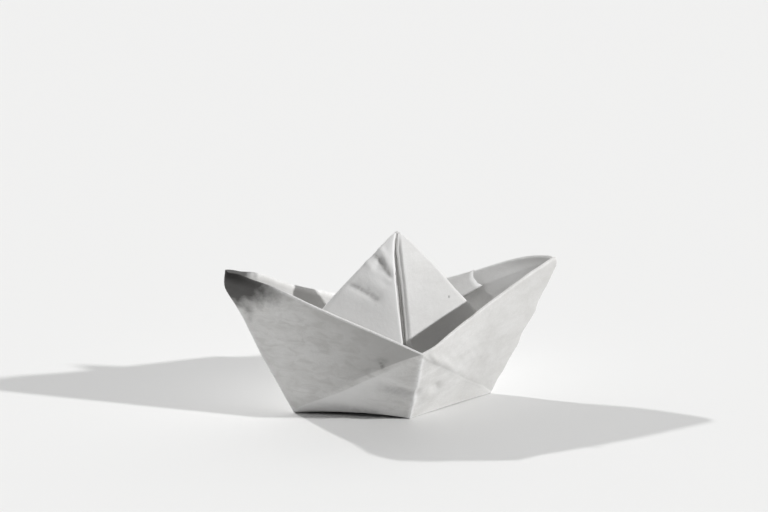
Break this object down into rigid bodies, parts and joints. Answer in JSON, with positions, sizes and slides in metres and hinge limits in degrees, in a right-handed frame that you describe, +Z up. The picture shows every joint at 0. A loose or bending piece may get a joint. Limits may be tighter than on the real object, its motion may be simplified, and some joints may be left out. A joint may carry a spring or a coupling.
{
  "type": "folded paper boat",
  "caption": "Large paper boat folded from a single sheet: an open hull with pointed ends and a pointed sail.",
  "frame": {"origin": "on the ground, midway between the bow and stern tips and between the two rims", "axes": "+X from the bow tip to the stern tip, -Y towards the near side with the slit in the sail, +Z up"},
  "size_m": [0.4344, 0.2624, 0.2277],
  "materials": {
    "paper": "matt cotton paper, sooty at the bow tip"
  },
  "bodies": {
    "root": {"paper_boat": "paper"}
  },
  "joints": []
}
